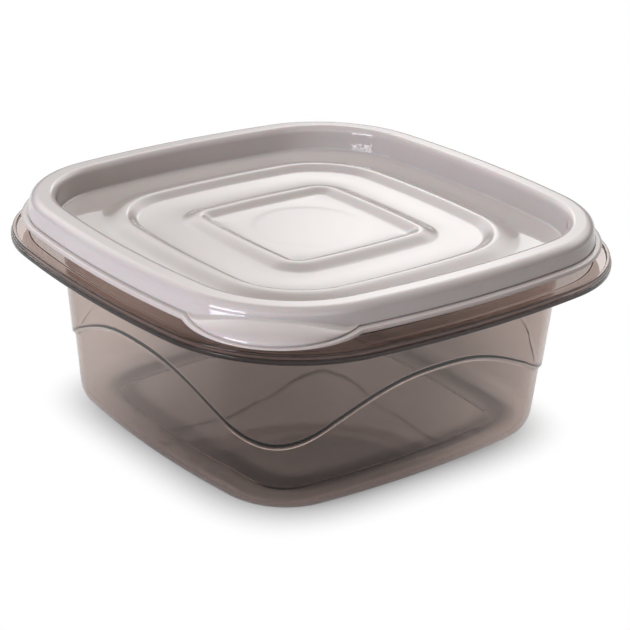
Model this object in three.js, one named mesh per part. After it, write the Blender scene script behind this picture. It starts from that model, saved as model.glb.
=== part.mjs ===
// Square food storage container: a see-through tub and a press-on lid with a corner lift tab.
// Millimetres, +Z up, origin at the centre of the foot ring's plane, lift tab at +X -Y.
import * as THREE from 'three';

// Plan shape: a rounded square with slightly bowed sides, given along the middle of the tub's rim.
const rimHalfWidth = 73;
const sideRadius = 345;
const cornerRadius = 35.5;

// Tub
const tubHeight = 72.2;
const tubWall = 1.5;
const wallTaperDegrees = 5.1;
const bottomRadius = 8;
const footWidth = 7;
const footHeight = 1;
const panelEdge = 3;

// Wave step round the wall: high at the middle of each side, low at each corner.
const waveCrestDrop = 20;
const waveTroughHeight = 23.6;
const waveRoundness = 1.2;
const stepDepth = 0.9;
const stepHeight = 1.4;

// Ledge, its outer bead, and the upright rim that carries the lid
const rimRise = 10.2;
const rimThickness = 1.6;
const rimLipReach = 1.6;
const rimLipHeight = 1.8;
const rimEdgeRadius = 0.7;
const shoulderWidth = 4;
const ledgeReach = 12;
const ledgeBeadWidth = 1.8;
const ledgeBeadRise = 0.8;
const ledgeBeadDrop = 0.9;

// Lid
const lidWall = 1.5;
const seatGap = 0.3;
const plugGap = 0.4;
const skirtGap = 1.9;
const floorGap = 2;
const lipGap = 3.1;
const ringInnerRadius = 2.2;
const ringOuterRadius = 2.8;
const recessDraft = 0.06;
const recessFootRadius = 0.8;
const skirtDraft = 0.22;
const lipHeight = 1.7;
const lipReach = 1.5;
const grooveDepth = 0.4;
const grooveHeight = 0.5;

// Snap bead inside the skirt, below the rim's lip
const snapGap = 0.4;
const snapDrop = 0.5;
const snapHeight = 1.6;

// Corner lift tab, flared out of the skirt below a lens-shaped crease
const tabReach = 8.1;
const tabHalfSpan = 22;
const tabFullness = 0.85;
const tabDip = 1;
const tabFaceReach = 0.9;
const tabBend = 0.7;
const tabCreaseDrop = 0.2;
const lensHalfSpan = 19.5;
const lensPower = 2.4;

// Ridges and disc pressed into the lid's sunken panel
const moatWidth = 8.5;
const ridgeHeight = 2.1;
const ridgeCrest = 0.8;
const ridgeInnerSlope = 4;
const ridgeOuterSlope = 9;
const ridgeCornerRadius = 26;
const plateauWidth = 12.8;
const frameHeight = 2;
const frameCrest = 0.8;
const frameSlope = 5;
const frameInnerCorner = 1;
const discMargin = 6;
const discRise = 0.25;
const discEdge = 0.6;
const leastDiscShare = 1 / 3;

// Facets
const cornerSteps = 8;
const sideSteps = 8;
const filletSteps = 3;
const ridgeSteps = 3;
const tabSteps = 3;
const sharpestCorner = 0.5;

const tubColor = 0x8a7a74;
const lidColor = 0xcbc3bf;

// Heights that several features share
const wallTaper = Math.tan(THREE.MathUtils.degToRad(wallTaperDegrees));
const ledgeTop = tubHeight - rimRise;
const ledgeUnder = ledgeTop - tubWall;
const beadTop = ledgeTop + ledgeBeadRise;
const ringTop = tubHeight + seatGap + lidWall;
const lidFloor = ledgeTop + floorGap + lidWall;
const lipBottom = beadTop + lipGap;

// A rounded square with bowed sides. Each side is an arc of radius side, each corner an arc of
// radius corner, and the two meet tangentially at the angle sweep from the side's middle.
function roundedSquare(half, side, corner) {
  const sweep = Math.acos((side - half) / (Math.SQRT2 * (side - corner))) - Math.PI / 4;
  return { half, side, corner, sweep, center: (side - corner) * Math.sin(sweep) };
}

function grow(square, offset) {
  const corner = Math.max(square.corner + offset, sharpestCorner);
  return roundedSquare(square.half + offset, square.side + offset, corner);
}

// The columns of a loft run once round the plan, anticlockwise from the +X side. Each quarter is a
// side and then a corner, and a column is a place on the rim, measured along it from the middle of
// the +X side. Columns fall on both ends of each corner, and at the tab's corner on the tab's ends.
const rim = roundedSquare(rimHalfWidth, sideRadius, cornerRadius);
const sideLength = rim.side * rim.sweep;
const cornerLength = rim.corner * (Math.PI / 4 - rim.sweep);
const halfQuarter = sideLength + cornerLength;
const tabQuarter = 3;
const quarterOf = (number) => THREE.MathUtils.euclideanModulo(number, 4);

// share is 0 at the middle of a side and 1 at the middle of a corner. tab is how far the lift tab
// stands out there, from 0 off the tab to 1 at its tip, where tabFullness below 1 fills its ends,
// and lens is how high its crease has come.
function columnAt(distance) {
  const quarter = Math.floor((distance + sideLength) / (2 * halfQuarter));
  const fromSide = distance - quarter * 2 * halfQuarter;
  const onSide = fromSide <= sideLength;
  const t = onSide ? fromSide / sideLength : (fromSide - halfQuarter) / cornerLength;
  const fromCorner = Math.abs(halfQuarter - Math.abs(fromSide));
  const nearTab = quarterOf(fromSide < 0 ? quarter - 1 : quarter) === tabQuarter;
  const reach = nearTab ? Math.max(0, 1 - fromCorner / tabHalfSpan) : 0;
  return {
    quarter: quarterOf(quarter),
    onSide,
    t,
    share: 1 - fromCorner / halfQuarter,
    tab: Math.sin((reach * Math.PI) / 2) ** tabFullness,
    lens: nearTab ? Math.max(0, 1 - (fromCorner / lensHalfSpan) ** lensPower) : 0,
  };
}

const columns = [];
const cornerSpan = (quarter) => (quarterOf(quarter) === tabQuarter ? tabHalfSpan : cornerLength);
for (let quarter = 0; quarter < 4; quarter += 1) {
  const sideMiddle = quarter * 2 * halfQuarter;
  const start = sideMiddle - halfQuarter + cornerSpan(quarter - 1);
  const corner = sideMiddle + halfQuarter - cornerSpan(quarter);
  const end = sideMiddle + halfQuarter + cornerSpan(quarter);
  for (let k = 0; k < sideSteps; k += 1) {
    columns.push(columnAt(THREE.MathUtils.lerp(start, corner, k / sideSteps)));
  }
  for (let k = 0; k < cornerSteps; k += 1) {
    columns.push(columnAt(THREE.MathUtils.lerp(corner, end, k / cornerSteps)));
  }
}

// The point of a column on a rounded square.
function onSquare(square, column) {
  const span = column.onSide ? square.sweep : Math.PI / 4 - square.sweep;
  const angle = column.onSide ? span * column.t : Math.PI / 4 + span * column.t;
  const radius = column.onSide ? square.side : square.corner;
  const middle = column.onSide
    ? new THREE.Vector2(square.half - square.side, 0)
    : new THREE.Vector2(square.center, square.center);
  const outward = new THREE.Vector2(Math.cos(angle), Math.sin(angle));
  const point = outward.multiplyScalar(radius).add(middle);
  return point.rotateAround(new THREE.Vector2(), (column.quarter * Math.PI) / 2);
}

function onCircle(radius, column) {
  const angle = ((column.onSide ? 0 : 1) + column.t / 2 + column.quarter * 2) * (Math.PI / 4);
  return new THREE.Vector2(Math.cos(angle), Math.sin(angle)).multiplyScalar(radius);
}

// One closed row of a loft. offset and height are numbers, or functions of the column.
function row(square, offset, height) {
  return columns.map((column) => {
    const growBy = typeof offset === 'function' ? offset(column) : offset;
    const z = typeof height === 'function' ? height(column) : height;
    const point = onSquare(grow(square, growBy), column);
    return new THREE.Vector3(point.x, point.y, z);
  });
}

function circleRow(radius, z) {
  return columns.map((column) => {
    const point = onCircle(radius, column);
    return new THREE.Vector3(point.x, point.y, z);
  });
}

// Rows along a rounded edge of the section, between two directions in degrees.
function roundedEdge(centerOffset, centerZ, radius, fromDegrees, toDegrees, rise = radius) {
  const arc = new THREE.EllipseCurve(
    centerOffset, centerZ, radius, rise,
    THREE.MathUtils.degToRad(fromDegrees), THREE.MathUtils.degToRad(toDegrees),
    toDegrees < fromDegrees, 0,
  );
  return arc.getPoints(filletSteps).map((point) => row(rim, point.x, point.y));
}

// A closed skin through rows that run from the axis on top, round the outside, to the axis below.
function loft(topZ, rows, bottomZ) {
  const positions = [0, 0, topZ];
  for (const point of rows.flat()) {
    positions.push(point.x, point.y, point.z);
  }
  positions.push(0, 0, bottomZ);
  const count = columns.length;
  const at = (i, j) => 1 + i * count + (j % count);
  const last = positions.length / 3 - 1;
  const triangles = [];
  for (let j = 0; j < count; j += 1) {
    triangles.push(0, at(0, j), at(0, j + 1));
    for (let i = 0; i + 1 < rows.length; i += 1) {
      triangles.push(at(i, j), at(i + 1, j), at(i + 1, j + 1));
      triangles.push(at(i, j), at(i + 1, j + 1), at(i, j + 1));
    }
    triangles.push(at(rows.length - 1, j), last, at(rows.length - 1, j + 1));
  }
  const geometry = new THREE.BufferGeometry();
  geometry.setAttribute('position', new THREE.Float32BufferAttribute(positions, 3));
  geometry.setIndex(triangles);
  geometry.computeVertexNormals();
  return geometry;
}

// The wave line's height: waveRoundness above 1 broadens its crests.
function waveHeight(column) {
  const crest = ledgeUnder - waveCrestDrop;
  const swing = 0.5 + 0.5 * Math.cos(Math.PI * column.share ** waveRoundness);
  return waveTroughHeight + (crest - waveTroughHeight) * swing;
}

function tubGeometry() {
  // Offset of the wall's outer face from the middle of the rim, above and below the wave step.
  const upperWall = (z) => -shoulderWidth - wallTaper * (ledgeUnder - z);
  const lowerWall = (z) => upperWall(z) - stepDepth;
  const stepTop = (column) => waveHeight(column) + stepHeight / 2;
  const stepBottom = (column) => waveHeight(column) - stepHeight / 2;
  const outerStepTop = (column) => upperWall(stepTop(column));
  const outerStepBottom = (column) => lowerWall(stepBottom(column));

  // The rounded bottom edge is tangent to the foot plane and to the lower wall.
  const slope = THREE.MathUtils.degToRad(wallTaperDegrees);
  const edgeCenter = lowerWall(0) - bottomRadius * (1 / Math.cos(slope) - Math.tan(slope));
  const footInner = edgeCenter - footWidth;

  const halfRim = rimThickness / 2;
  const rimOuter = halfRim + rimLipReach;
  const rimLipUnder = tubHeight - rimLipHeight;
  const rimChamfer = rimEdgeRadius / 2;
  const beadRadius = ledgeBeadWidth / 2;
  const beadCenter = ledgeReach - beadRadius;
  const beadFoot = ledgeUnder - ledgeBeadDrop;

  const rows = [
    row(rim, footInner, footHeight + tubWall),
    row(rim, footInner + panelEdge, tubWall),
    ...roundedEdge(edgeCenter, bottomRadius, bottomRadius - tubWall, -90, -wallTaperDegrees),
    row(rim, (column) => outerStepBottom(column) - tubWall, stepBottom),
    row(rim, (column) => outerStepTop(column) - tubWall, stepTop),
    row(rim, upperWall(ledgeTop) - tubWall, ledgeTop),
    row(rim, -halfRim, ledgeTop),
    row(rim, -halfRim, tubHeight - rimChamfer),
    row(rim, rimChamfer - halfRim, tubHeight),
    ...roundedEdge(rimOuter - rimEdgeRadius, tubHeight - rimEdgeRadius, rimEdgeRadius, 90, 0),
    row(rim, rimOuter, rimLipUnder + rimChamfer),
    row(rim, rimOuter - rimChamfer, rimLipUnder),
    row(rim, halfRim, rimLipUnder),
    row(rim, halfRim, ledgeTop),
    ...roundedEdge(beadCenter, ledgeTop, beadRadius, 180, 0, ledgeBeadRise),
    row(rim, ledgeReach, beadFoot + beadRadius / 2),
    row(rim, ledgeReach - beadRadius / 2, beadFoot),
    row(rim, beadCenter, beadFoot),
    row(rim, ledgeReach - ledgeBeadWidth, ledgeUnder),
    row(rim, upperWall(ledgeUnder), ledgeUnder),
    row(rim, outerStepTop, stepTop),
    row(rim, outerStepBottom, stepBottom),
    ...roundedEdge(edgeCenter, bottomRadius, bottomRadius, -wallTaperDegrees, -90),
    row(rim, footInner + panelEdge, 0),
    row(rim, footInner, footHeight),
  ];
  return loft(footHeight + tubWall, rows, footHeight);
}

// Rows across a raised ridge, from its inner foot over its crest to its outer foot.
function ridgeRows(square, ridge, floor) {
  const eased = (t) => t * t * (3 - 2 * t);
  const shares = Array.from({ length: ridgeSteps + 1 }, (_, k) => k / ridgeSteps);
  const inward = shares.map((t) => row(
    square, -ridge.crest / 2 - ridge.innerSlope * (1 - t), floor + ridge.height * eased(t),
  ));
  const outward = shares.map((t) => row(
    square, ridge.crest / 2 + ridge.outerSlope * t, floor + ridge.height * eased(1 - t),
  ));
  return [...inward, ...outward];
}

function lidGeometry() {
  // The recess wall clears the rim's inside, and the skirt clears the rim's lip.
  const halfRim = rimThickness / 2;
  const rimOuter = halfRim + rimLipReach;
  const recessTop = -halfRim - plugGap - lidWall;
  const recessFoot = recessTop - recessDraft * (ringTop - lidFloor);
  const skirtTop = rimOuter + skirtGap + lidWall;
  const lipTop = lipBottom + lipHeight;
  const grooveTop = lipTop + grooveHeight;
  const outerRadius = Math.min(ringOuterRadius, (ringTop - grooveTop) / 2);
  const edgeFoot = ringTop - outerRadius;
  const skirt = (z) => skirtTop + skirtDraft * (edgeFoot - z);
  const inside = (z) => skirt(z) - lidWall;

  // Outlines of the panel's ridges, each set in from the one outside it.
  const outerRidge = {
    crest: ridgeCrest, innerSlope: ridgeInnerSlope, outerSlope: ridgeOuterSlope, height: ridgeHeight,
  };
  const innerFrame = {
    crest: frameCrest, innerSlope: frameSlope, outerSlope: frameSlope, height: frameHeight,
  };
  const panelHalf = rimHalfWidth + recessFoot - recessFootRadius;
  const ridgeHalf = panelHalf - moatWidth - ridgeOuterSlope - ridgeCrest / 2;
  const plateauHalf = ridgeHalf - ridgeCrest / 2 - ridgeInnerSlope;
  const frameHalf = plateauHalf - plateauWidth - frameSlope - frameCrest / 2;
  const centerHalf = frameHalf - frameCrest / 2 - frameSlope;
  const ridge = roundedSquare(ridgeHalf, sideRadius, ridgeCornerRadius);
  const frame = roundedSquare(frameHalf, sideRadius, frameInnerCorner + frameSlope + frameCrest / 2);
  const discRadius = Math.max(centerHalf - discMargin, centerHalf * leastDiscShare);

  // The lift tab's face: below its crease the skirt leans out and then rolls down to the tab's edge,
  // where the groove comes down and the edge bead gets thinner.
  const { lerp } = THREE.MathUtils;
  const creaseFoot = grooveTop + tabCreaseDrop;
  const climb = edgeFoot - tabCreaseDrop - creaseFoot + tabDip;
  const dipped = (z) => (column) => z - tabDip * column.tab;
  const faceReach = tabReach + tabFaceReach;
  const faceRow = (share) => {
    const lean = share - (tabBend * Math.sin(2 * Math.PI * share)) / (2 * Math.PI);
    const foot = dipped(lerp(creaseFoot, grooveTop, share));
    const z = (column) => foot(column) + climb * (1 - share) * column.lens;
    return row(rim, (column) => skirt(z(column)) + faceReach * lean * column.tab, z);
  };
  const tabFace = Array.from({ length: tabSteps + 1 }, (_, k) => faceRow(k / tabSteps));

  const flare = (offset, reach = tabReach) => (column) => offset + reach * column.tab;
  const grooveFloor = skirt(grooveTop) - grooveDepth;
  const lipOuter = skirt(lipBottom) + lipReach;
  const lipRadius = lipHeight / 2;
  const lipChamferShare = 1 / 4;
  const lipLevel = (share) => (column) => lerp(lipBottom, dipped(lipTop)(column), share);

  // The snap bead passes the rim's lip with its own clearance when the lid is lifted, and its foot
  // stays above the edge bead.
  const snapTop = tubHeight - rimLipHeight - snapDrop;
  const snapFoot = Math.max(snapTop - snapHeight, lipTop);
  const channelTop = ringTop - lidWall;
  const channelRadius = Math.max(outerRadius - lidWall, seatGap);
  const under = lidFloor - lidWall;
  const plugFoot = recessFoot + lidWall;

  const rows = [
    circleRow(discRadius, lidFloor + discRise),
    circleRow(discRadius + discEdge, lidFloor),
    ...ridgeRows(frame, innerFrame, lidFloor),
    ...ridgeRows(ridge, outerRidge, lidFloor),
    ...roundedEdge(recessFoot - recessFootRadius, lidFloor + recessFootRadius, recessFootRadius, -90, 0),
    ...roundedEdge(recessTop + ringInnerRadius, ringTop - ringInnerRadius, ringInnerRadius, 180, 90),
    ...roundedEdge(skirtTop - outerRadius, edgeFoot, outerRadius, 90, 0),
    ...tabFace,
    row(rim, flare(grooveFloor, faceReach), dipped((grooveTop + lipTop) / 2)),
    row(rim, flare(lipOuter - lipRadius), lipLevel(1)),
    row(rim, flare(lipOuter), lipLevel(1 - lipChamferShare)),
    row(rim, flare(lipOuter), lipLevel(lipChamferShare)),
    row(rim, flare(lipOuter - lipRadius / 2), lipBottom),
    row(rim, flare(inside(lipBottom)), lipBottom),
    row(rim, flare(inside(lipBottom), tabReach / 2), (lipBottom + snapFoot) / 2),
    row(rim, inside(snapFoot), snapFoot),
    row(rim, rimOuter + snapGap, (snapTop + snapFoot) / 2),
    row(rim, inside(snapTop), snapTop),
    ...roundedEdge(skirtTop - lidWall - channelRadius, channelTop - channelRadius, channelRadius, 0, 90),
    row(rim, recessTop + lidWall, channelTop),
    row(rim, plugFoot, under + recessFootRadius),
    row(rim, plugFoot - recessFootRadius, under),
    ...ridgeRows(ridge, outerRidge, under).reverse(),
    ...ridgeRows(frame, innerFrame, under).reverse(),
  ];
  return loft(lidFloor + discRise, rows, under);
}

function piece(name, geometry, material) {
  const mesh = new THREE.Mesh(geometry, material);
  mesh.name = name;
  return mesh;
}

const smokyPlastic = new THREE.MeshStandardMaterial({
  color: tubColor, roughness: 0.12, metalness: 0, transparent: true, opacity: 0.5,
});
const greyPlastic = new THREE.MeshStandardMaterial({ color: lidColor, roughness: 0.3, metalness: 0 });

const container = new THREE.Group();
container.add(piece('tub', tubGeometry(), smokyPlastic));
container.add(piece('lid', lidGeometry(), greyPlastic));

export default container;
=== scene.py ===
"""Square food storage container: a smoky see-through tub and its press-on lid, set on a studio floor."""

import math
from typing import NamedTuple

import bpy
from bpy.props import FloatProperty, FloatVectorProperty, IntProperty, PointerProperty
from mathutils import Matrix, Vector


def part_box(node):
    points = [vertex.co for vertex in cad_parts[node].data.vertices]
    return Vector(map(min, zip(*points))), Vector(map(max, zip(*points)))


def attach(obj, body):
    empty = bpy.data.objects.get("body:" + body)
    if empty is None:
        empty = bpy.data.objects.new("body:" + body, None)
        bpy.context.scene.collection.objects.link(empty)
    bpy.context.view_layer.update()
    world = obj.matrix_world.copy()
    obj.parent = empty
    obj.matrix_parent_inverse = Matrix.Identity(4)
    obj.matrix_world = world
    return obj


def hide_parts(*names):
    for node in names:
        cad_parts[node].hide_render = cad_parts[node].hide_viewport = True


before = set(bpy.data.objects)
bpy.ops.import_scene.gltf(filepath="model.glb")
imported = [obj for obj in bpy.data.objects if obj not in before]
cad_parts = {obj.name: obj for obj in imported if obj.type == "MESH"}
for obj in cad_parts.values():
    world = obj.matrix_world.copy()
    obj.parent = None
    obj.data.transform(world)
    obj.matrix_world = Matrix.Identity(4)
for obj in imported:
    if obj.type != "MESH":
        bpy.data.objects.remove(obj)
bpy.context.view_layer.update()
TUB_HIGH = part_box("tub")[1]
LID_LOW, LID_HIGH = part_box("lid")

bl_info = {
    "name": "Square food storage container",
    "version": (1, 0, 0),
    "blender": (4, 5, 0),
    "location": "3D View > Sidebar > Container",
    "description": "Makes a see-through tub, its press-on lid and a studio stage",
    "category": "Object",
}

# From the middle of the tub's rim out to the ledge's edge, which is the widest place of the tub
LEDGE_REACH = 0.012

# The least corner radius, the radius of a section's ends on the axis, the least arc that is made, the
# distance within which two points are one, how far from an arc the next row stands that holds a run
# straight, and the shortest run that is held so
SHARPEST_CORNER = 0.0005
POLE_RADIUS = 1e-7
LEAST_ARC = 1e-7
MERGE_DISTANCE = 2e-6
HOLD = 0.0003
SHORTEST_HELD_RUN = 3 * HOLD

# The share of a straight run that the arcs at its ends may take, and how far from a true circle the plan
# of a round form is
FULLEST_RUN = 0.96
CIRCLE_SPREAD = 0.001

# Mesh rows on a quarter turn, on a ridge's slope and on the lift tab's face
ARC_STEPS = 6
SLOPE_STEPS = 12
TAB_STEPS = 16

# The corners are counted anticlockwise from the one at +X +Y, from 0, and the tab is at +X -Y
TAB_CORNER = 3

# Counts such as a ray's bounces are whole numbers, so half a count tells two of them apart
HALF_COUNT = 0.5

# The range that holds most values of a noise
NOISE_LOW = 0.3
NOISE_HIGH = 0.7

# A Mix node has sockets for every kind of data: these are its two colours and their mix
MIX_FIRST = 6
MIX_SECOND = 7
MIX_RESULT = 2

# How square the shades on the floor are: 2 is a circle
SHADE_SQUARENESS = 4.0
CONTACT_SQUARENESS = 6.0

# Half the floor's width, and how far below the part it lies, so that the two don't meet in one plane
FLOOR_HALF = 6.0
FLOOR_DROP = 0.0002

WHITE = (1.0, 1.0, 1.0, 1.0)


def length(name, description, default):
    """A length in metres."""
    return FloatProperty(
        name=name, description=description, default=default, min=0.0, precision=4,
        subtype="DISTANCE", unit="LENGTH",
    )


def lengths(name, description, default):
    """Lengths along the axes, or the width and height of a rectangle, in metres."""
    return FloatVectorProperty(
        name=name, description=description, default=default, size=len(default), precision=4,
        subtype="XYZ_LENGTH", unit="LENGTH",
    )


def colour(name, description, default):
    """A colour, in linear light."""
    return FloatVectorProperty(
        name=name, description=description, default=default, size=3, min=0.0, max=1.0, subtype="COLOR",
    )


def number(name, description, default):
    """A plain number that isn't below 0."""
    return FloatProperty(name=name, description=description, default=default, min=0.0)


def angle(name, description, degrees):
    """An angle, given in degrees and kept in radians."""
    return FloatProperty(
        name=name, description=description, default=math.radians(degrees), subtype="ANGLE",
    )


class PlanSizes(bpy.types.PropertyGroup):
    """The rounded square that every outline is set off from, along the middle of the tub's rim."""

    half_width: length("Half width", "From the middle to the rim's side", TUB_HIGH.x - LEDGE_REACH)
    side_radius: length("Side radius", "Radius of the slightly bowed sides", 0.345)
    corner_radius: length("Corner radius", "Radius of the rim's corners", 0.0355)
    side_columns: IntProperty(name="Side columns", description="Mesh columns on a side", default=40)
    corner_columns: IntProperty(name="Corner columns", description="Mesh columns on a corner", default=32)


class TubSizes(bpy.types.PropertyGroup):
    """Sizes and finish of the tub."""

    height: length("Height", "From the floor to the top of the rim", TUB_HIGH.z)
    wall: length("Wall", "Thickness of the moulded wall", 0.0015)
    taper: angle("Taper", "Lean of the wall", 5.1)
    bottom_radius: length("Bottom radius", "Rounding between wall and base", 0.008)
    foot_width: length("Foot width", "Flat width of the foot ring", 0.007)
    foot_height: length("Foot height", "Rise of the base inside the foot ring", 0.001)
    panel_edge: length("Panel edge", "Width of the slope inside the foot ring", 0.003)
    wave_crest: length("Wave crest", "Height of the wave step at a side's middle", 0.0405)
    wave_trough: length("Wave trough", "Height of the wave step at a corner", 0.0236)
    wave_roundness: number("Wave roundness", "Above 1 the crests are broader", 1.2)
    step_depth: length("Step depth", "How far the wall steps in below the wave", 0.0009)
    step_height: length("Step height", "Height of the step's slope", 0.0014)
    step_shift: length("Step shift", "How much higher the step is on the wall's inner face", 0.0009)
    rim_rise: length("Rim rise", "Height of the rim above the ledge", 0.0102)
    rim_thickness: length("Rim thickness", "Thickness of the upright rim", 0.0016)
    rim_lip_reach: length("Rim lip reach", "How far the rim's lip stands out", 0.0016)
    rim_lip_height: length("Rim lip height", "Height of the rim's lip", 0.0018)
    shoulder_width: length("Shoulder width", "From the rim's middle in to the wall", 0.004)
    ledge_reach: length("Ledge reach", "From the rim's middle out to the ledge's edge", LEDGE_REACH)
    bead_width: length("Bead width", "Width of the bead on the ledge's edge", 0.0018)
    bead_under_width: length("Bead under width", "Width of the thicker edge below the bead", 0.006)
    bead_rise: length("Bead rise", "Height of the bead above the ledge", 0.0008)
    bead_drop: length("Bead drop", "Depth of the bead below the ledge", 0.0009)
    bead_step: length("Bead step", "How far the bead's lower band stands out of its upper one", 0.0005)
    bead_band: number("Bead band", "Share of the bead's height that its lower band has", 0.5)
    fine_rounding: length("Fine rounding", "Rounding of the crisp edges", 0.000375)
    soft_rounding: length("Soft rounding", "Rounding of the blunt edges", 0.0012)
    tint: colour("Tint", "Colour of the plastic's surface", (0.95, 0.94, 0.93))
    smoke: colour("Smoke", "Colour that the plastic lets through", (0.606, 0.462, 0.402))
    smoke_density: number("Smoke density", "How fast the plastic takes light, per metre", 500.0)


class LidSizes(bpy.types.PropertyGroup):
    """Sizes and finish of the lid."""

    top: length("Top", "Height of the ring's top face", LID_HIGH.z)
    under: length("Underside", "Height of the sunken panel's lower face", LID_LOW.z)
    wall: length("Wall", "Thickness of the moulded wall", 0.0015)
    recess_top: length("Recess top", "From the rim's middle in to the ring's inner edge", 0.0027)
    recess_draft: number("Recess draft", "Slope of the recess wall", 0.06)
    recess_foot_radius: length("Recess foot radius", "Rounding at the foot of the recess wall", 0.0008)
    ring_inner_radius: length("Ring inner radius", "Rounding of the ring's inner edge", 0.0022)
    ring_outer_radius: length("Ring outer radius", "Rounding of the ring's outer edge", 0.0028)
    skirt_top: length("Skirt top", "From the rim's middle out to the skirt", 0.0058)
    skirt_draft: number("Skirt draft", "Outward lean of the skirt", 0.22)
    groove_top: length("Groove top", "Height of the groove above the edge bead", 0.0681)
    groove_depth: length("Groove depth", "Depth of that groove", 0.0004)
    lip_top: length("Lip top", "Height of the edge bead's top", 0.0676)
    lip_bottom: length("Lip bottom", "Height of the edge bead's foot", 0.0659)
    lip_reach: length("Lip reach", "How far the edge bead stands out of the skirt", 0.0015)
    snap_top: length("Snap top", "Height of the snap bead's top", 0.0699)
    snap_foot: length("Snap foot", "Height of the snap bead's foot", 0.0683)
    snap_face: length("Snap face", "From the rim's middle to the snap bead", 0.0028)
    snap_rounding: length("Snap rounding", "Rounding of the snap bead's crest", 0.00075)
    fine_rounding: length("Fine rounding", "Rounding of the crisp edges", 0.0003)
    tab_reach: length("Tab reach", "How far the lift tab stands out", 0.0081)
    tab_half_span: length("Tab half span", "Half the length of the lift tab along the rim", 0.022)
    tab_fullness: number("Tab fullness", "Below 1 the tab's ends are fuller", 0.85)
    tab_crease: length("Tab crease", "Drop of the tab's crease below the ring's edge", 0.0002)
    tab_dip: length("Tab dip", "How far the groove comes down along the tab", 0.001)
    tab_face: length("Tab face", "How far the tab's face reaches out over the edge bead", 0.0009)
    tab_bend: number("Tab bend", "0 is a flat tab face, 1 rolls its lower edge upright", 1.0)
    lens_half_span: length("Lens half span", "Half the length of the tab's crease", 0.0195)
    lens_power: number("Lens power", "Above 2 the crease is flatter in its middle", 2.4)
    ridge_half: length("Ridge half width", "From the middle to the outer ridge's crest", 0.0512)
    ridge_corner: length("Ridge corner", "Corner radius of the outer ridge", 0.026)
    ridge_height: length("Ridge height", "Height of the outer ridge", 0.0018)
    ridge_crest: length("Ridge crest", "Width of the ridges' crests", 0.0006)
    ridge_inner_slope: length("Ridge inner slope", "Width of the outer ridge's inner slope", 0.0042)
    ridge_outer_slope: length("Ridge outer slope", "Width of the outer ridge's outer slope", 0.008)
    frame_half: length("Frame half width", "From the middle to the inner ridge's crest", 0.0280)
    frame_corner: length("Frame corner", "Corner radius of the inner ridge", 0.0064)
    frame_height: length("Frame height", "Height of the inner ridge", 0.0016)
    frame_inner_slope: length("Frame inner slope", "Width of the inner ridge's inner slope", 0.0042)
    frame_outer_slope: length("Frame outer slope", "Width of the inner ridge's outer slope", 0.0060)
    disc_radius: length("Disc radius", "Radius of the raised disc in the middle", 0.0168)
    disc_rise: length("Disc rise", "Height of that disc", 0.00005)
    disc_edge: length("Disc edge", "Width of the disc's edge", 0.0025)
    plastic: colour("Plastic", "Colour of the lid", (0.61, 0.566, 0.549))
    plastic_shade: colour("Plastic shade", "Colour of the lid's flow marks", (0.584, 0.54, 0.523))


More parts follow.
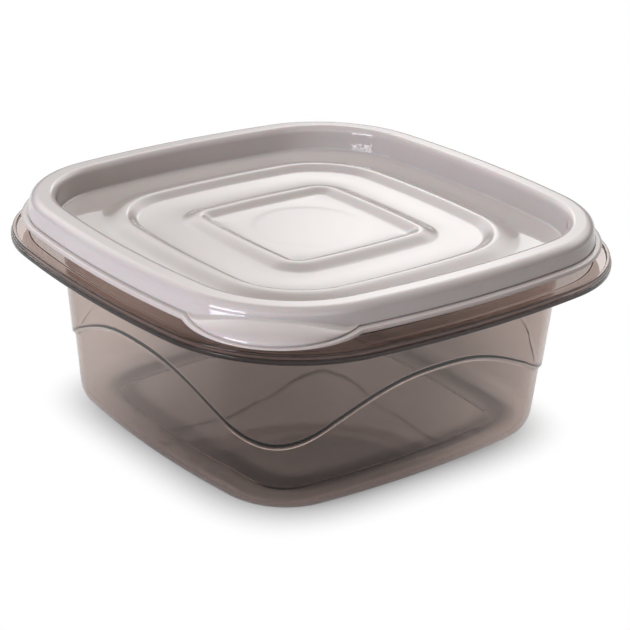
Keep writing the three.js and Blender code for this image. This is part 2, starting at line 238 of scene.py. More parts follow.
class StageSettings(bpy.types.PropertyGroup):
    """Floor, light and camera."""

    floor: colour("Floor", "Colour of the studio floor", (0.68, 0.68, 0.68))
    shade_radius: length("Shade radius", "How far the floor shows the part's full shadow", 0.046)
    white_radius: length("White radius", "How far out the floor is plain white", 0.076)
    # The shadow seen through the tub is a painted shadow: these set its shape, shift and stretch, and
    # inside it the floor shows its own lit shading
    shadow_radius: length("Shadow radius", "How far the shadow seen through the tub is full", 0.032)
    shadow_end: length("Shadow end", "How far out that shadow ends", 0.108)
    shadow_lightness: number("Shadow lightness", "How white that shadow is where it is full", 0.08)
    shadow_shift: length("Shadow shift", "How far that shadow falls behind the part", 0.140)
    shadow_stretch: number("Shadow stretch", "How much longer than wide that shadow is", 4.0)
    shadow_azimuth: angle("Shadow azimuth", "The way in which that shadow falls, from +X", 130.0)
    # The dark line below the foot ring is a painted contact shadow on the floor
    contact_start: length("Contact start", "Where the dark line below the foot ring starts", 0.043)
    contact_end: length("Contact end", "Where that line ends", 0.057)
    contact_shift: length("Contact shift", "How far behind the foot ring that line is", 0.009)
    contact_lightness: number("Contact lightness", "How white that line is where it is darkest", 0.15)
    ambient: colour("Ambient", "Light from all round", (0.21, 0.186, 0.175))
    back_place: lengths("Back place", "Where the softbox above and behind is", (-0.43, 0.36, 1.00))
    back_size: lengths("Back size", "Width and height of that softbox", (0.6, 0.4))
    back_light: number("Back light", "Brightness of the softbox above and behind", 2.8)
    top_place: lengths("Top place", "Where the softbox overhead is", (0.0, -0.12, 1.05))
    top_size: lengths("Top size", "Width and height of that softbox", (0.5, 0.5))
    top_light: number("Top light", "Brightness of the softbox overhead", 5.0)
    key_place: lengths("Key place", "Where the softbox on the left is", (0.10, -0.95, 0.19))
    key_size: lengths("Key size", "Width and height of that softbox", (0.5, 0.3))
    key_light: number("Key light", "Brightness of the softbox on the left", 12.2)
    key_tint: colour("Key tint", "Colour of the softbox on the left", (0.87, 0.875, 1.0))
    room_light: number("Room light", "Brightness that gloss mirrors elsewhere", 0.3)
    backdrop_light: number("Backdrop light", "Brightness that gloss mirrors behind the part", 2.7)
    backdrop_width: angle("Backdrop width", "Half the backdrop's spread to the sides", 80.0)
    backdrop_foot: angle("Backdrop foot", "The backdrop's lower edge over the horizon", 8.0)
    backdrop_rise: angle("Backdrop rise", "How far above its lower edge the backdrop is full", 24.0)
    backdrop_height: angle("Backdrop height", "The backdrop's upper edge over the horizon", 65.0)
    backdrop_fade: angle("Backdrop fade", "How far below its upper edge the backdrop starts to fade", 35.0)
    front_share: number("Front share", "How bright the front wall is next to the backdrop", 0.6)
    front_foot: angle("Front foot", "How far over the horizon the front wall is full", 12.0)
    glow_light: number("Glow light", "How much brighter the backdrop's glow is", 1.9)
    glow_azimuth: angle("Glow azimuth", "The glow's way round the part, from +X", 138.0)
    glow_elevation: angle("Glow elevation", "The glow's height over the horizon", 20.5)
    glow_width: angle("Glow width", "Half the glow's width", 10.0)
    glow_height: angle("Glow height", "Half the glow's height", 8.0)
    azimuth: angle("Azimuth", "The camera's way round the part", 51.30)
    elevation: angle("Elevation", "The camera's height over the horizon", 22.83)
    roll: angle("Roll", "The camera's tilt", 1.93)
    distance: length("Distance", "From the camera to the point that it looks at", 0.6089)
    aim: lengths("Aim", "The point that the camera looks at", (0.00757, -0.00252, 0.03752))
    lens: FloatProperty(
        name="Lens", description="Focal length in millimetres", default=106.58, unit="CAMERA",
    )


class Plan(NamedTuple):
    """A rounded square with bowed sides."""

    half: float
    side: float
    corner: float

    def grown(self, offset):
        """The plan set off outwards."""
        corner = max(self.corner + offset, SHARPEST_CORNER)
        return Plan(self.half + offset, self.side + offset, corner)

    def sweep(self):
        """Half the angle of a side's arc."""
        across = math.sqrt(2) * (self.side - self.corner)
        return math.acos((self.side - self.half) / across) - math.pi / 4


def rim_plan(sizes):
    """The plan along the middle of the tub's rim."""
    return Plan(sizes.half_width, sizes.side_radius, sizes.corner_radius)


def circle_plan(radius):
    """A rounded square that is all but a circle: its arcs meet midway between side and corner."""
    share = math.sqrt(2) * math.cos(3 * math.pi / 8)
    side = radius * (1 + share * CIRCLE_SPREAD)
    corner = radius * (1 - (1 - share) * CIRCLE_SPREAD)
    return Plan(radius, side, corner)


class Row(NamedTuple):
    """What the loft reads at one point of a section."""

    half_width: float
    side_radius: float
    corner_radius: float
    height: float
    wave: float
    reach: float
    rise: float
    dip: float


class Corner(NamedTuple):
    """A corner of a section: its place off a plan, its rounding, and how it follows the wave and the tab.

    wave is its share in the wave's height, reach is how far the tab takes it out, rise is how far the
    tab's crease lifts it, and dip is how far the tab lifts it, or lowers it where it is below 0.
    """

    plan: Plan
    offset: float
    height: float
    radius: float = 0.0
    wave: float = 0.0
    reach: float = 0.0
    rise: float = 0.0
    dip: float = 0.0

    def point(self):
        """Its place in the section at a side's middle."""
        return Vector((self.plan.half + self.offset, self.height))

    def row(self):
        """Its row in the loft."""
        plan = self.plan.grown(self.offset) if self.offset else self.plan
        return Row(*plan, self.height, self.wave, self.reach, self.rise, self.dip)


def between(start, end, share):
    """A corner on the straight run between two corners of one plan."""
    mixed = [a + (b - a) * share for a, b in zip(start[1:], end[1:])]
    return Corner(start.plan, *mixed)


def arc_trims(corners):
    """How far each corner's arc reaches along its straight runs, cut where two arcs would meet."""
    points = [corner.point() for corner in corners]
    wanted = [0.0]
    for before, here, after, corner in zip(points, points[1:], points[2:], corners[1:]):
        turn = (here - before).angle(after - here, 0.0)
        wanted.append(corner.radius * math.tan(turn / 2))
    wanted.append(0.0)
    fits = [1.0]
    for start, end, first, second in zip(points, points[1:], wanted, wanted[1:]):
        fits.append(min(1.0, FULLEST_RUN * (end - start).length / max(first + second, LEAST_ARC)))
    fits.append(1.0)
    return [trim * min(left, right) for trim, left, right in zip(wanted, fits, fits[1:])]


def arc_corners(before, corner, after, trim):
    """The points of the arc at one corner."""
    here = corner.point()
    inward = (here - before.point()).normalized()
    outward = (after.point() - here).normalized()
    turn = inward.angle(outward, 0.0)
    if trim < LEAST_ARC or turn < LEAST_ARC:
        return [corner._replace(radius=0.0)]
    radius = trim / math.tan(turn / 2)
    across = (outward - inward * inward.dot(outward)).normalized()
    steps = max(2, math.ceil(ARC_STEPS * turn / (math.pi / 2)))
    start = corner.dip + (before.dip - corner.dip) * trim / (here - before.point()).length
    end = corner.dip + (after.dip - corner.dip) * trim / (after.point() - here).length
    arc = []
    for k in range(steps + 1):
        share = k / steps
        part = turn * share
        along = radius * math.sin(part) - trim
        aside = radius * (1 - math.cos(part))
        place = here + inward * along + across * aside
        dip = (1 - share) ** 2 * start + 2 * share * (1 - share) * corner.dip + share ** 2 * end
        offset = place.x - corner.plan.half
        arc.append(corner._replace(offset=offset, height=place.y, radius=0.0, dip=dip))
    return arc


def section_rows(corners):
    """Rows along a section: arcs at its corners, and rows beside them that hold the runs straight."""
    trims = arc_trims(corners)
    arcs = [[corners[0]]]
    for before, corner, after, trim in zip(corners, corners[1:], corners[2:], trims[1:]):
        arcs.append(arc_corners(before, corner, after, trim))
    arcs.append([corners[-1]])
    made = []
    for arc, following in zip(arcs, arcs[1:]):
        made += arc
        start, end = arc[-1], following[0]
        run = (end.point() - start.point()).length
        if start.plan == end.plan and run > SHORTEST_HELD_RUN:
            made.append(between(start, end, HOLD / run))
            made.append(between(start, end, 1 - HOLD / run))
    return [corner.row() for corner in made + arcs[-1]]


def tub_section(plan, tub):
    """The tub's section, from the middle of its floor up the inside, over the rim and down the outside."""
    half_rim = tub.rim_thickness / 2
    rim_outer = half_rim + tub.rim_lip_reach
    rim_lip_under = tub.height - tub.rim_lip_height
    ledge_top = tub.height - tub.rim_rise
    ledge_under = ledge_top - tub.wall
    bead_top = ledge_top + tub.bead_rise
    bead_foot = ledge_under - tub.bead_drop
    bead_inner = tub.ledge_reach - tub.bead_width
    bead_under = tub.ledge_reach - tub.bead_under_width
    bead_face = tub.ledge_reach - tub.bead_step
    band_top = bead_foot + (bead_top - bead_foot) * tub.bead_band
    slope = math.tan(tub.taper)
    step_top = tub.wave_trough + tub.step_height / 2
    step_bottom = tub.wave_trough - tub.step_height / 2
    inner_top = step_top + tub.step_shift
    inner_bottom = step_bottom + tub.step_shift
    fine, soft = tub.fine_rounding, tub.soft_rounding

    def upper(z):
        """The outer wall above the wave."""
        return -tub.shoulder_width - slope * (ledge_under - z)

    def lower(z):
        """The outer wall below the wave."""
        return upper(z) - tub.step_depth

    foot_outer = lower(0) - tub.bottom_radius * (1 / math.cos(tub.taper) - slope)
    foot_inner = foot_outer - tub.foot_width
    floor_top = tub.foot_height + tub.wall
    return [
        Corner(circle_plan(POLE_RADIUS), 0, floor_top),
        Corner(plan, foot_inner, floor_top, soft),
        Corner(plan, foot_inner + tub.panel_edge, tub.wall, soft),
        Corner(plan, lower(tub.wall) - tub.wall, tub.wall, tub.bottom_radius - tub.wall),
        Corner(plan, lower(inner_bottom) - tub.wall, inner_bottom, soft, wave=1),
        Corner(plan, upper(inner_top) - tub.wall, inner_top, soft, wave=1),
        Corner(plan, upper(ledge_top) - tub.wall, ledge_top, soft),
        Corner(plan, -half_rim, ledge_top, soft),
        Corner(plan, -half_rim, tub.height, fine),
        Corner(plan, rim_outer, tub.height, soft),
        Corner(plan, rim_outer, rim_lip_under, fine),
        Corner(plan, half_rim, rim_lip_under, fine),
        Corner(plan, half_rim, ledge_top, fine),
        Corner(plan, bead_inner, ledge_top, fine / 2),
        Corner(plan, bead_inner, bead_top, fine),
        Corner(plan, bead_face, bead_top, fine),
        Corner(plan, bead_face, band_top, fine / 2),
        Corner(plan, tub.ledge_reach, band_top, fine),
        Corner(plan, tub.ledge_reach, bead_foot, fine),
        Corner(plan, bead_under, bead_foot, fine),
        Corner(plan, bead_under, ledge_under, fine / 2),
        Corner(plan, upper(ledge_under), ledge_under, soft),
        Corner(plan, upper(step_top), step_top, fine, wave=1),
        Corner(plan, lower(step_bottom), step_bottom, fine, wave=1),
        Corner(plan, lower(0), 0, tub.bottom_radius),
        Corner(plan, foot_inner + tub.panel_edge, 0, soft),
        Corner(plan, foot_inner, tub.foot_height, soft),
        Corner(circle_plan(POLE_RADIUS), 0, tub.foot_height),
    ]


def eased(share):
    """A smooth passage from 0 to 1."""
    return share * share * (3 - 2 * share)


def ridge(plan, crest, inner_slope, outer_slope, height, base):
    """A raised ridge with eased slopes, from its inner foot to its outer foot."""
    shares = [k / SLOPE_STEPS for k in range(SLOPE_STEPS + 1)]
    made = []
    for share in shares:
        made.append(Corner(plan, -crest / 2 - inner_slope * (1 - share), base + height * eased(share)))
    for share in shares:
        made.append(Corner(plan, crest / 2 + outer_slope * share, base + height * eased(1 - share)))
    return made


def panel_ridges(plan, lid, base):
    """The sunken panel's two ridges, over one of the panel's faces."""
    inner = ridge(
        Plan(lid.frame_half, plan.side, lid.frame_corner),
        lid.ridge_crest, lid.frame_inner_slope, lid.frame_outer_slope, lid.frame_height, base,
    )
    outer = ridge(
        Plan(lid.ridge_half, plan.side, lid.ridge_corner),
        lid.ridge_crest, lid.ridge_inner_slope, lid.ridge_outer_slope, lid.ridge_height, base,
    )
    return inner + outer


def tab_face(plan, lid, skirt, edge_foot):
    """The lift tab's face: from its crease the skirt leans out, and bulges down to the tab's edge."""
    low = lid.groove_top + lid.tab_crease
    climb = edge_foot - lid.tab_crease - low + lid.tab_dip
    made = []
    for k in range(TAB_STEPS):
        share = k / TAB_STEPS
        height = low + (lid.groove_top - low) * share
        lean = share + lid.tab_bend * math.sin(math.pi * share) / math.pi
        reach = (lid.tab_reach + lid.tab_face) * lean
        rise = climb * (1 - share)
        made.append(Corner(plan, skirt(height), height, reach=reach, rise=rise, dip=-lid.tab_dip))
    return made


def lid_section(plan, lid):
    """The lid's section, from its panel's middle over the ring, round the skirt and back underneath."""
    panel = lid.under + lid.wall
    recess_foot = -lid.recess_top - lid.recess_draft * (lid.top - panel)
    edge_foot = lid.top - lid.ring_outer_radius
    crease_top = edge_foot - lid.tab_crease / 2
    lip_radius = (lid.lip_top - lid.lip_bottom) / 2
    groove_middle = (lid.groove_top + lid.lip_top) / 2
    channel_top = lid.top - lid.wall
    channel_radius = lid.ring_outer_radius - lid.wall
    plug_foot = recess_foot + lid.wall
    skirt_middle = (lid.lip_bottom + lid.snap_foot) / 2
    snap_middle = (lid.snap_top + lid.snap_foot) / 2
    fine = lid.fine_rounding
    out = lid.tab_reach
    face = lid.tab_reach + lid.tab_face

    def skirt(z):
        """The skirt's outer face."""
        return lid.skirt_top + lid.skirt_draft * (edge_foot - z)

    def inside(z):
        """The skirt's inner face."""
        return skirt(z) - lid.wall

    lip_outer = skirt(lid.lip_bottom) + lid.lip_reach
    groove_floor = skirt(lid.groove_top) - lid.groove_depth
    disc = circle_plan(lid.disc_radius)
    disc_foot = circle_plan(lid.disc_radius + lid.disc_edge)
    return [
        Corner(circle_plan(POLE_RADIUS), 0, panel + lid.disc_rise),
        Corner(disc, 0, panel + lid.disc_rise, lid.wall),
        Corner(disc_foot, 0, panel, lid.wall),
        *panel_ridges(plan, lid, panel),
        Corner(plan, recess_foot, panel, lid.recess_foot_radius),
        Corner(plan, -lid.recess_top, lid.top, lid.ring_inner_radius),
        Corner(plan, lid.skirt_top, lid.top, lid.ring_outer_radius),
        Corner(plan, skirt(crease_top), crease_top),
        *tab_face(plan, lid, skirt, edge_foot),
        Corner(plan, skirt(lid.groove_top), lid.groove_top, fine, reach=face, dip=-lid.tab_dip),
        Corner(plan, groove_floor, groove_middle, fine, reach=face, dip=-lid.tab_dip),
        Corner(plan, groove_floor, lid.lip_top, fine / 2, reach=face, dip=-lid.tab_dip),
        Corner(plan, lip_outer, lid.lip_top, lip_radius, reach=out, dip=-lid.tab_dip),
        Corner(plan, lip_outer, lid.lip_bottom, lip_radius, reach=out),
        Corner(plan, inside(lid.lip_bottom), lid.lip_bottom, fine, reach=out),
        Corner(plan, inside(lid.lip_bottom), skirt_middle, 0, reach=out / 2),
        Corner(plan, inside(lid.snap_foot), lid.snap_foot, fine),
        Corner(plan, lid.snap_face, snap_middle, lid.snap_rounding),
        Corner(plan, inside(lid.snap_top), lid.snap_top, fine),
        Corner(plan, lid.skirt_top - lid.wall, channel_top, channel_radius),
        Corner(plan, lid.wall - lid.recess_top, channel_top, fine),
        Corner(plan, plug_foot, lid.under, lid.recess_foot_radius),
        *reversed(panel_ridges(plan, lid, lid.under)),
        Corner(circle_plan(POLE_RADIUS), 0, lid.under),
    ]


class Field:
    """A value in a node tree. Arithmetic on it adds Math nodes."""

    def __init__(self, tree, socket):
        self.tree = tree
        self.socket = socket

    def math(self, operation, *others):
        """The result of a Math node on this value and others."""
        node = self.tree.nodes.new("ShaderNodeMath")
        node.operation = operation
        for socket, value in zip(node.inputs, (self, *others)):
            plug(self.tree, value, socket)
        return Field(self.tree, node.outputs[0])

    def __add__(self, other):
        return self.math("ADD", other)

    def __sub__(self, other):
        return self.math("SUBTRACT", other)

    def __mul__(self, other):
        return self.math("MULTIPLY", other)

    def __truediv__(self, other):
        return self.math("DIVIDE", other)

    def __neg__(self):
        return self.math("MULTIPLY", -1.0)

    def __rsub__(self, other):
        return -self + other

    __radd__ = __add__
    __rmul__ = __mul__


def plug(tree, value, socket):
    """Links a field or socket to a socket, or sets a plain value on it."""
    if isinstance(value, Field):
        value = value.socket
    if isinstance(value, bpy.types.NodeSocket):
        tree.links.new(value, socket)
    else:
        socket.default_value = value


def fill(tree, node, inputs):
    """Plugs values into a node's inputs by their names."""
    for name, value in inputs.items():
        plug(tree, value, node.inputs[name])


def add_node(tree, kind, inputs, **settings):
    """A new node with its settings and inputs."""
    node = tree.nodes.new(kind)
    for name, value in settings.items():
        setattr(node, name, value)
    fill(tree, node, inputs)
    return node


LOFT_NUMBERS = (
    "Side Run", "Corner Run", "Wave Swing", "Wave Roundness", "Wall Slope", "Tab Half Span",
    "Tab Fullness", "Lens Half Span", "Lens Power", "Skirt Draft",
)
LOFT_INPUTS = {
    "Section": "NodeSocketGeometry",
    "Side Columns": "NodeSocketInt",
    "Corner Columns": "NodeSocketInt",
    **dict.fromkeys(LOFT_NUMBERS, "NodeSocketFloat"),
    "Material": "NodeSocketMaterial",
}


def loft_tree():
    """Geometry nodes that take a section round the plan, and lift its rows along the wave and the tab."""
    tree = bpy.data.node_groups.new("loft_round_the_plan", "GeometryNodeTree")
    for name, kind in LOFT_INPUTS.items():
        tree.interface.new_socket(name, in_out="INPUT", socket_type=kind)
    tree.interface.new_socket("Piece", in_out="OUTPUT", socket_type="NodeSocketGeometry")
    source = tree.nodes.new("NodeGroupInput")
    result = tree.nodes.new("NodeGroupOutput")
    given = {name: Field(tree, source.outputs[name]) for name in LOFT_INPUTS}
    section = given["Section"]

    # A grid with one column for each place round the plan and one row for each point of the section.
    side, corner = given["Side Columns"], given["Corner Columns"]
    columns = 4 * (side + corner)
    size = add_node(tree, "GeometryNodeAttributeDomainSize", {"Geometry": section}, component="MESH")
    rows = Field(tree, size.outputs["Point Count"])
    counts = {"Size X": 1.0, "Size Y": 1.0, "Vertices X": columns + 1, "Vertices Y": rows}
    grid = add_node(tree, "GeometryNodeMeshGrid", counts)
    position = tree.nodes.new("GeometryNodeInputPosition").outputs["Position"]
    place = add_node(tree, "ShaderNodeSeparateXYZ", {"Vector": position})
    column = ((Field(tree, place.outputs["X"]) + 0.5) * columns).math("ROUND")
    row = ((Field(tree, place.outputs["Y"]) + 0.5) * (rows - 1)).math("ROUND")

    def along_section(name):
        """A value of the section's row."""
        named = add_node(tree, "GeometryNodeInputNamedAttribute", {"Name": name}, data_type="FLOAT")
        inputs = {"Geometry": section, "Value": named.outputs["Attribute"], "Index": row}
        sample = add_node(tree, "GeometryNodeSampleIndex", inputs, data_type="FLOAT", domain="POINT")
        return Field(tree, sample.outputs["Value"])

    # Each quarter of the plan is a side and then a corner. t runs from -1 to 1 along either.
    quarter = (column / (side + corner)).math("FLOOR")
    step = column - quarter * (side + corner)
    on_side = step.math("LESS_THAN", side)

    def either(side_value, corner_value):
        """One value on a side and the other on a corner."""
        return on_side * side_value + (1 - on_side) * corner_value

    t = either(2 * step / side - 1, 2 * (step - side) / corner - 1)
    distance = t.math("ABSOLUTE")

    # How far along the rim the column is from the nearest corner's middle, and what the wave does there.
    side_run, corner_run = given["Side Run"], given["Corner Run"]
    from_corner = either(side_run * (1 - distance) + corner_run, corner_run * distance)
    share = 1 - from_corner / (side_run + corner_run)
    swing = (share.math("POWER", given["Wave Roundness"]) * math.pi).math("COSINE") * 0.5 + 0.5
    lift = along_section("wave") * swing * given["Wave Swing"]

    # The lift tab: 1 at the middle of its corner, 0 beyond its half span.
    nearest = (quarter - on_side * t.math("LESS_THAN", 0.0) + 4).math("MODULO", 4.0)
    at_tab = nearest.math("COMPARE", float(TAB_CORNER), HALF_COUNT)
    tab_share = (1 - from_corner / given["Tab Half Span"]).math("MAXIMUM", 0.0) * at_tab
    tab = (tab_share * (math.pi / 2)).math("SINE").math("POWER", given["Tab Fullness"])
    bow = (from_corner / given["Lens Half Span"]).math("POWER", given["Lens Power"])
    lens = (1 - bow).math("MAXIMUM", 0.0) * at_tab
    climb = along_section("rise") * lens + along_section("dip") * tab

    growth = lift * given["Wall Slope"] + along_section("reach") * tab - climb * given["Skirt Draft"]
    half = along_section("half_width") + growth
    side_radius = along_section("side_radius") + growth
    corner_radius = along_section("corner_radius") + growth
    height = along_section("height") + lift + climb

    # The rounded square: side arcs and corner arcs that meet tangentially.
    gap = side_radius - corner_radius
    sweep = ((side_radius - half) / (gap * math.sqrt(2))).math("ARCCOSINE") - math.pi / 4
    middle = gap * sweep.math("SINE")
    turn = either(sweep * t, (math.pi / 4 - sweep) * t + math.pi / 4)
    radius = either(side_radius, corner_radius)
    x = either(half - side_radius, middle) + radius * turn.math("COSINE")
    y = (1 - on_side) * middle + radius * turn.math("SINE")
    point = add_node(tree, "ShaderNodeCombineXYZ", {"X": x, "Y": y, "Z": height})
    turning = {"Vector": point.outputs[0], "Angle": quarter * (math.pi / 2)}
    turned = add_node(tree, "ShaderNodeVectorRotate", turning, rotation_type="Z_AXIS")

    # The grid takes that shape, its seam and poles are closed, and its faces are turned outwards.
    made = grid
    for kind, name, inputs in (
        ("GeometryNodeSetPosition", "Geometry", {"Position": turned.outputs[0]}),
        ("GeometryNodeMergeByDistance", "Geometry", {"Distance": MERGE_DISTANCE}),
        ("GeometryNodeFlipFaces", "Mesh", {}),
        ("GeometryNodeSetShadeSmooth", "Geometry", {}),
        ("GeometryNodeRealizeInstances", "Geometry", {}),
        ("GeometryNodeSetMaterial", "Geometry", {"Material": given["Material"]}),
    ):
        made = add_node(tree, kind, {name: made.outputs[0], **inputs})
    plug(tree, made.outputs[0], result.inputs["Piece"])
    return tree


def section_object(name, rows):
    """The section as a line of vertices that carry its rows' values."""
    mesh = bpy.data.meshes.new(name)
    mesh.from_pydata([(row.half_width, 0.0, row.height) for row in rows], [], [])
    for field, values in zip(Row._fields, zip(*rows)):
        mesh.attributes.new(field, "FLOAT", "POINT").data.foreach_set("value", values)
    piece = bpy.data.objects.new(name, mesh)
    bpy.context.scene.collection.objects.link(piece)
    return piece


def loft(name, corners, sizes, material, **shape):
    """A closed piece made by taking a section round the plan."""
    piece = section_object(name, section_rows(corners))
    rim = rim_plan(sizes)
    values = {
        "Side Columns": sizes.side_columns,
        "Corner Columns": sizes.corner_columns,
        "Side Run": rim.side * rim.sweep(),
        "Corner Run": rim.corner * (math.pi / 4 - rim.sweep()),
        "Wave Roundness": 1.0,
        "Tab Half Span": rim.corner,
        "Tab Fullness": 1.0,
        "Lens Half Span": rim.corner,
        "Lens Power": 1.0,
        "Material": material,
        **shape,
    }
    modifier = piece.modifiers.new("loft", "NODES")
    modifier.node_group = bpy.data.node_groups.get("loft_round_the_plan") or loft_tree()
    for item in modifier.node_group.interface.items_tree:
        if item.name in values:
            modifier[item.identifier] = values[item.name]
    evaluated = piece.evaluated_get(bpy.context.evaluated_depsgraph_get())
    mesh = bpy.data.meshes.new_from_object(evaluated)
    if not mesh.polygons:
        raise RuntimeError(f"{name} came out empty")
    mesh.name = name
    piece.modifiers.clear()
    piece.data = mesh
    return piece


def new_material(name):
    """A material with its node tree and its shader."""
    material = bpy.data.materials.new(name)
    material.use_nodes = True
    tree = material.node_tree
    return material, tree, tree.nodes["Principled BSDF"]


def noise(tree, scale, detail, stretch=(1.0, 1.0, 1.0)):
    """Noise on the piece's own coordinates, as a value about 0.5."""
    coordinates = tree.nodes.new("ShaderNodeTexCoord").outputs["Object"]
    mapping = add_node(tree, "ShaderNodeMapping", {"Vector": coordinates, "Scale": stretch})
    inputs = {"Vector": mapping.outputs[0], "Scale": scale, "Detail": detail}
    return Field(tree, add_node(tree, "ShaderNodeTexNoise", inputs).outputs[0])


def ranged(value, low, high):
    """A value about 0.5, spread over a range."""
    limits = {"Value": value, "From Min": NOISE_LOW, "From Max": NOISE_HIGH, "To Min": low, "To Max": high}
    return add_node(value.tree, "ShaderNodeMapRange", limits).outputs[0]


def mixed_colour(tree, factor, first, second):
    """A colour that goes from first to second as the factor goes from 0 to 1."""
    mix = add_node(tree, "ShaderNodeMix", {"Factor": factor}, data_type="RGBA")
    plug(tree, first, mix.inputs[MIX_FIRST])
    plug(tree, second, mix.inputs[MIX_SECOND])
    return mix.outputs[MIX_RESULT]


def bumped(tree, height, strength, depth):
    """A surface that a height moves up and down."""
    inputs = {"Height": height, "Strength": strength, "Distance": depth}
    return add_node(tree, "ShaderNodeBump", inputs).outputs[0]


def smoky_plastic(tub):
    """Clear gloss plastic with a brown-grey smoke in it, and the faint ripples of its moulding."""
    material, tree, shader = new_material("smoky_plastic")
    flow = noise(tree, scale=40.0, detail=2.0, stretch=(1.0, 1.0, 2.5))
    haze = noise(tree, scale=180.0, detail=4.0)
    fill(tree, shader, {
        "Base Color": (*tub.tint, 1.0),
        "Transmission Weight": 1.0,
        "IOR": 1.49,
        "Roughness": ranged(haze, low=0.010, high=0.022),
        "Normal": bumped(tree, flow, strength=0.04, depth=0.0004),
    })
    inside = {"Color": (*tub.smoke, 1.0), "Density": tub.smoke_density}
    absorption = add_node(tree, "ShaderNodeVolumeAbsorption", inside)
    plug(tree, absorption.outputs[0], tree.nodes["Material Output"].inputs["Volume"])
    return material


def grey_plastic(lid):
    """Opaque warm grey plastic with a moulded gloss: faint flow marks and a fine grain."""
    material, tree, shader = new_material("grey_plastic")
    marks = ranged(noise(tree, scale=30.0, detail=5.0), low=0.0, high=1.0)
    polish = noise(tree, scale=220.0, detail=4.0)
    grain = noise(tree, scale=900.0, detail=3.0)
    fill(tree, shader, {
        "Base Color": mixed_colour(tree, marks, (*lid.plastic, 1.0), (*lid.plastic_shade, 1.0)),
        "Roughness": ranged(polish, low=0.02, high=0.05),
        "IOR": 1.5,
        "Subsurface Weight": 0.3,
        "Subsurface Scale": 0.002,
        "Normal": bumped(tree, grain, strength=0.04, depth=0.00003),
    })
    return material


def light_path(tree, *names):
    """Outputs of a Light Path node."""
    path = tree.nodes.new("ShaderNodeLightPath")
    return [Field(tree, path.outputs[name]) for name in names]


def seen_directly(tree):
    """1 for camera, glossy and transmission rays, and 0 for the rays that carry light to a dull surface."""
    camera, glossy, through = light_path(tree, "Is Camera Ray", "Is Glossy Ray", "Is Transmission Ray")
    dull, = light_path(tree, "Diffuse Depth")
    return camera.math("MAXIMUM", glossy).math("MAXIMUM", through) * dull.math("LESS_THAN", HALF_COUNT)


def eased_range(value, start, end):
    """A smooth passage from 0 to 1 while a value goes from start to end."""
    limits = {"Value": value, "From Min": start, "From Max": end, "To Min": 0.0, "To Max": 1.0}
    passage = add_node(value.tree, "ShaderNodeMapRange", limits, interpolation_type="SMOOTHSTEP")
    return Field(value.tree, passage.outputs[0])


def room_light(tree, stage):
    """What gloss mirrors: a lit backdrop with a glow in it, and a front wall, in a dim room."""
    direction = tree.nodes.new("ShaderNodeTexCoord").outputs["Generated"]
    turning = {"Vector": direction, "Angle": -stage.glow_azimuth}
    turned = add_node(tree, "ShaderNodeVectorRotate", turning, rotation_type="Z_AXIS")
    axes = add_node(tree, "ShaderNodeSeparateXYZ", {"Vector": turned.outputs[0]})
    x, y, z = (Field(tree, socket) for socket in axes.outputs)
    aside = y.math("ARCTAN2", x).math("ABSOLUTE")
    above = z.math("ARCSINE")
    behind = eased_range(aside, stage.backdrop_width, stage.backdrop_width / 2)
    front = eased_range(math.pi - aside, stage.backdrop_width, stage.backdrop_width / 2)
    lowered = eased_range(above, stage.backdrop_height, stage.backdrop_height - stage.backdrop_fade)
    raised = eased_range(above, stage.backdrop_foot, stage.backdrop_foot + stage.backdrop_rise)
    front_raised = eased_range(above, 0.0, stage.front_foot)
    backdrop = (behind * raised + front * front_raised * stage.front_share) * lowered
    across = (aside / stage.glow_width).math("POWER", 2.0)
    upwards = ((above - stage.glow_elevation) / stage.glow_height).math("POWER", 2.0)
    glow = eased_range((across + upwards).math("SQRT"), 1.0, 0.0)
    return backdrop * (stage.backdrop_light - stage.room_light) + stage.room_light + glow * stage.glow_light


def studio_world(stage):
    """Plain light from all round, a white background, and a studio that gloss mirrors."""
    world = bpy.data.worlds.new("studio")
    world.use_nodes = True
    tree = world.node_tree
    mirrors, crossings = light_path(tree, "Glossy Depth", "Transmission Depth")
    on_gloss = mirrors.math("GREATER_THAN", HALF_COUNT) * crossings.math("LESS_THAN", HALF_COUNT)
    shown = mixed_colour(tree, on_gloss, WHITE, room_light(tree, stage))
    light = mixed_colour(tree, seen_directly(tree), (*stage.ambient, 1.0), shown)
    plug(tree, light, tree.nodes["Background"].inputs["Color"])
    bpy.context.scene.world = world


def beyond_square(tree, start, end, squareness, place=(0.0, 0.0, 0.0), azimuth=0.0, stretch=1.0):
    """0 inside a rounded square on the floor, which may be turned and stretched, and 1 outside it."""
    coordinates = tree.nodes.new("ShaderNodeTexCoord").outputs["Object"]
    placing = {
        "Vector": coordinates,
        "Location": place,
        "Rotation": (0.0, 0.0, azimuth),
        "Scale": (stretch, 1.0, 1.0),
    }
    placed = add_node(tree, "ShaderNodeMapping", placing, vector_type="TEXTURE")
    axes = add_node(tree, "ShaderNodeSeparateXYZ", {"Vector": placed.outputs[0]})
    sides = [Field(tree, axes.outputs[axis]).math("ABSOLUTE").math("POWER", squareness) for axis in "XY"]
    return eased_range((sides[0] + sides[1]).math("POWER", 1 / squareness), start, end)


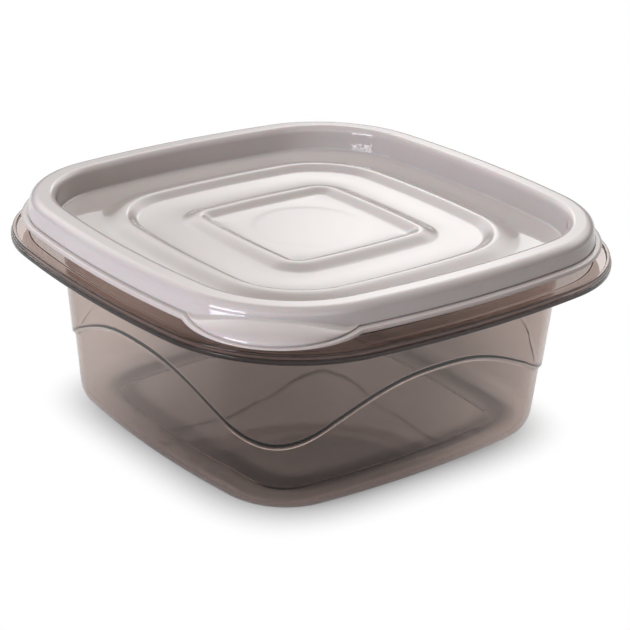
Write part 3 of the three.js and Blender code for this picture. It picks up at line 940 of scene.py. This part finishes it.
def studio_floor(stage):
    """A wide pale floor that takes the part's shadow close by and looks white further out."""
    mesh = bpy.data.meshes.new("studio_floor")
    quadrants = ((-1, -1), (1, -1), (1, 1), (-1, 1))
    corners = [(x * FLOOR_HALF, y * FLOOR_HALF, -FLOOR_DROP) for x, y in quadrants]
    mesh.from_pydata(corners, [], [range(len(corners))])
    floor = bpy.data.objects.new("studio_floor", mesh)
    bpy.context.scene.collection.objects.link(floor)
    material, tree, shader = new_material("studio_floor")
    fill(tree, shader, {"Base Color": (*stage.floor, 1.0), "Roughness": 0.9, "Specular IOR Level": 0.0})
    glow = add_node(tree, "ShaderNodeEmission", {"Color": WHITE, "Strength": 1.0})

    # Where the floor is white: the camera sees the part's real shadow close to it. Through the tub the
    # floor shows a painted shadow, a long shape that falls behind the part, and a painted contact shadow,
    # the dark line below its foot ring. Inside these shapes the floor drops its white glow and shows its
    # own lit shading, so their darkness is partly real shade and partly painted.
    behind = Vector((math.cos(stage.shadow_azimuth), math.sin(stage.shadow_azimuth), 0.0))
    from_outside = beyond_square(tree, stage.shade_radius, stage.white_radius, SHADE_SQUARENESS)
    # Painted shadow: a set shape behind the part, with some white kept where it is full
    through_tub = beyond_square(
        tree, stage.shadow_radius, stage.shadow_end, SHADE_SQUARENESS, behind * stage.shadow_shift,
        stage.shadow_azimuth, stage.shadow_stretch,
    )
    through_tub = through_tub * (1 - stage.shadow_lightness) + stage.shadow_lightness
    # Painted contact shadow: a dark line on the floor just behind the foot ring, seen through the tub
    foot = (stage.contact_start + stage.contact_end) / 2
    foot_place = behind * stage.contact_shift
    inside = beyond_square(tree, foot, stage.contact_start, CONTACT_SQUARENESS, foot_place)
    outside = beyond_square(tree, foot, stage.contact_end, CONTACT_SQUARENESS, foot_place)
    contact = inside.math("MAXIMUM", outside).math("MAXIMUM", stage.contact_lightness)
    through_tub = through_tub * contact
    camera, = light_path(tree, "Is Camera Ray")
    clear = camera * from_outside + (1 - camera) * through_tub
    mix = add_node(tree, "ShaderNodeMixShader", {"Fac": seen_directly(tree) * clear})
    plug(tree, shader.outputs[0], mix.inputs[1])
    plug(tree, glow.outputs[0], mix.inputs[2])
    plug(tree, mix.outputs[0], tree.nodes["Material Output"].inputs["Surface"])
    mesh.materials.append(material)


def softbox(name, place, size, brightness, tint=(1.0, 1.0, 1.0)):
    """A rectangular lamp that faces the middle of the lid."""
    aim = Vector((0.0, 0.0, LID_HIGH.z))
    lamp = bpy.data.lights.new(name, "AREA")
    lamp.shape = "RECTANGLE"
    lamp.size, lamp.size_y = size
    lamp.color = tint
    lamp.energy = brightness * math.pi * lamp.size * lamp.size_y
    box = bpy.data.objects.new(name, lamp)
    box.location = place
    box.rotation_euler = (aim - Vector(place)).to_track_quat("-Z", "Y").to_euler()
    bpy.context.scene.collection.objects.link(box)
    return box


def studio_camera(stage):
    """The camera at the photograph's angle."""
    azimuth, elevation = stage.azimuth, stage.elevation
    back = Vector((
        math.sin(azimuth) * math.cos(elevation),
        -math.cos(azimuth) * math.cos(elevation),
        math.sin(elevation),
    ))
    level = Vector((math.cos(azimuth), math.sin(azimuth), 0.0))
    upright = back.cross(level)
    right = level * math.cos(stage.roll) + upright * math.sin(stage.roll)
    up = upright * math.cos(stage.roll) - level * math.sin(stage.roll)
    lens = bpy.data.cameras.new("camera")
    lens.lens = stage.lens
    lens.clip_start = 0.01
    camera = bpy.data.objects.new("camera", lens)
    place = Matrix.Translation(Vector(stage.aim) + back * stage.distance)
    camera.matrix_world = place @ Matrix((right, up, back)).transposed().to_4x4()
    bpy.context.scene.collection.objects.link(camera)
    bpy.context.scene.camera = camera


class CONTAINER_OT_make_tub(bpy.types.Operator):
    """Make the see-through tub with its wave step, ledge and rim"""

    bl_idname = "container.make_tub"
    bl_label = "Make tub"

    def execute(self, context):
        plan, tub = context.scene.container_plan, context.scene.container_tub
        shape = {
            "Wave Swing": tub.wave_crest - tub.wave_trough,
            "Wave Roundness": tub.wave_roundness,
            "Wall Slope": math.tan(tub.taper),
        }
        piece = loft("tub_body", tub_section(rim_plan(plan), tub), plan, smoky_plastic(tub), **shape)
        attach(piece, "tub")
        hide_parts("tub")
        return {"FINISHED"}


class CONTAINER_OT_make_lid(bpy.types.Operator):
    """Make the press-on lid with its ridged panel and lift tab"""

    bl_idname = "container.make_lid"
    bl_label = "Make lid"

    def execute(self, context):
        plan, lid = context.scene.container_plan, context.scene.container_lid
        shape = {
            "Tab Half Span": lid.tab_half_span,
            "Tab Fullness": lid.tab_fullness,
            "Lens Half Span": lid.lens_half_span,
            "Lens Power": lid.lens_power,
            "Skirt Draft": lid.skirt_draft,
        }
        piece = loft("lid_cover", lid_section(rim_plan(plan), lid), plan, grey_plastic(lid), **shape)
        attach(piece, "lid")
        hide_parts("lid")
        return {"FINISHED"}


class CONTAINER_OT_make_stage(bpy.types.Operator):
    """Make the floor, the studio light and the camera"""

    bl_idname = "container.make_stage"
    bl_label = "Make stage"

    def execute(self, context):
        stage = context.scene.container_stage
        context.scene.view_settings.view_transform = "Standard"
        studio_camera(stage)
        studio_world(stage)
        studio_floor(stage)
        back = softbox("back_softbox", stage.back_place, stage.back_size, stage.back_light)
        top = softbox("top_softbox", stage.top_place, stage.top_size, stage.top_light)
        back.visible_glossy = False
        top.visible_glossy = False
        softbox("key_softbox", stage.key_place, stage.key_size, stage.key_light, stage.key_tint)
        return {"FINISHED"}


class CONTAINER_PT_panel(bpy.types.Panel):
    """Sizes, colours and the pieces to make"""

    bl_idname = "CONTAINER_PT_panel"
    bl_label = "Food container"
    bl_space_type = "VIEW_3D"
    bl_region_type = "UI"
    bl_category = "Container"

    def draw(self, context):
        for operator in OPERATORS:
            self.layout.operator(operator.bl_idname)
        for settings, kind in GROUPS.items():
            for name in kind.__annotations__:
                self.layout.prop(getattr(context.scene, settings), name)


GROUPS = {
    "container_plan": PlanSizes,
    "container_tub": TubSizes,
    "container_lid": LidSizes,
    "container_stage": StageSettings,
}
OPERATORS = (CONTAINER_OT_make_tub, CONTAINER_OT_make_lid, CONTAINER_OT_make_stage)
CLASSES = (*GROUPS.values(), *OPERATORS, CONTAINER_PT_panel)


def register():
    for made in CLASSES:
        bpy.utils.register_class(made)
    for name, group in GROUPS.items():
        setattr(bpy.types.Scene, name, PointerProperty(type=group))


def unregister():
    for name in GROUPS:
        delattr(bpy.types.Scene, name)
    for made in reversed(CLASSES):
        bpy.utils.unregister_class(made)


def main():
    register()
    bpy.ops.container.make_tub()
    bpy.ops.container.make_lid()
    bpy.ops.container.make_stage()


if __name__ == "__main__":
    main()
